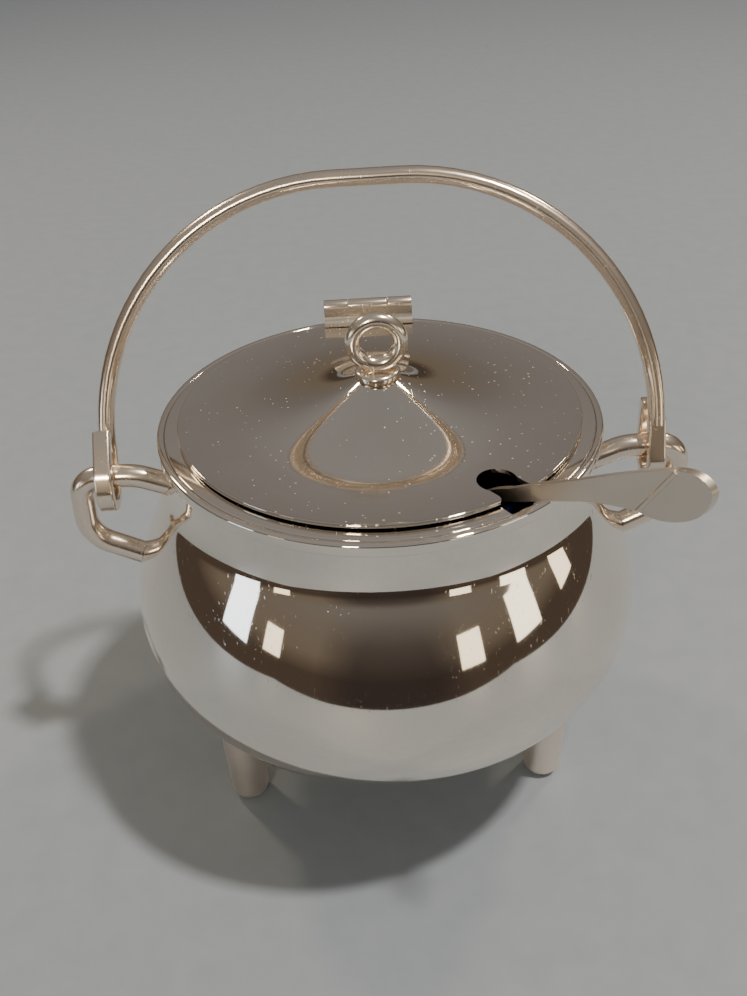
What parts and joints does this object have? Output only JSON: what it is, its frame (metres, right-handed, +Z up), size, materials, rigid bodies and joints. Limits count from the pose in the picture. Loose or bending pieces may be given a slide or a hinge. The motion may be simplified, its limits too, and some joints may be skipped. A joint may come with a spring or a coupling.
{
  "type": "mustard pot",
  "caption": "Cauldron-shaped silver mustard pot on small feet, with swinging bail handle, hinged lid with ring finial and spoon slot, glass liner and spoon.",
  "frame": {"origin": "on the table under the pot's axis, midway between the three feet", "axes": "+Z up, +Y to the hinge at the back, +X to the right ear; the bail's pivot lies along X"},
  "size_m": [0.0862, 0.0791, 0.087],
  "materials": {
    "polished_silver": "polished, with fine scratches",
    "soft_silver": "satin, less polished",
    "blue_glass": "clear dark blue",
    "spoon_silver": "worn polish",
    "pin_wire": "drawn wire"
  },
  "bodies": {
    "pot": {"body": "polished_silver", "rim_ring": "polished_silver", "left_ear": "polished_silver", "right_ear": "polished_silver", "front_left_foot": "soft_silver", "front_right_foot": "soft_silver", "rear_foot": "soft_silver", "liner": "blue_glass", "body_hinge_leaf": "polished_silver", "body_knuckle_left": "polished_silver", "body_knuckle_right": "polished_silver", "hinge_pin": "pin_wire"},
    "lid": {"lid": "polished_silver", "finial_collar": "polished_silver", "finial_ring": "polished_silver", "lid_hinge_leaf": "polished_silver", "lid_knuckle": "polished_silver"},
    "bail": {"bail": "polished_silver"},
    "spoon": {"spoon": "spoon_silver"}
  },
  "joints": [
    {"name": "lid_hinge", "type": "hinge", "parent": "pot", "child": "lid", "pos_m": [0, 0.0282, 0.06135], "axis": [-1, 0, 0], "range_deg": [0, 28]},
    {"name": "bail_swing", "type": "hinge", "parent": "pot", "child": "bail", "pos_m": [0, 0, 0.051], "axis": [1, 0, 0], "range_deg": [-77, 78]},
    {"name": "spoon_rock", "type": "hinge", "parent": "pot", "child": "spoon", "pos_m": [0.01609, -0.0234, 0.0588], "axis": [0.8241, 0.5664, 0], "range_deg": [0, 8]}
  ]
}
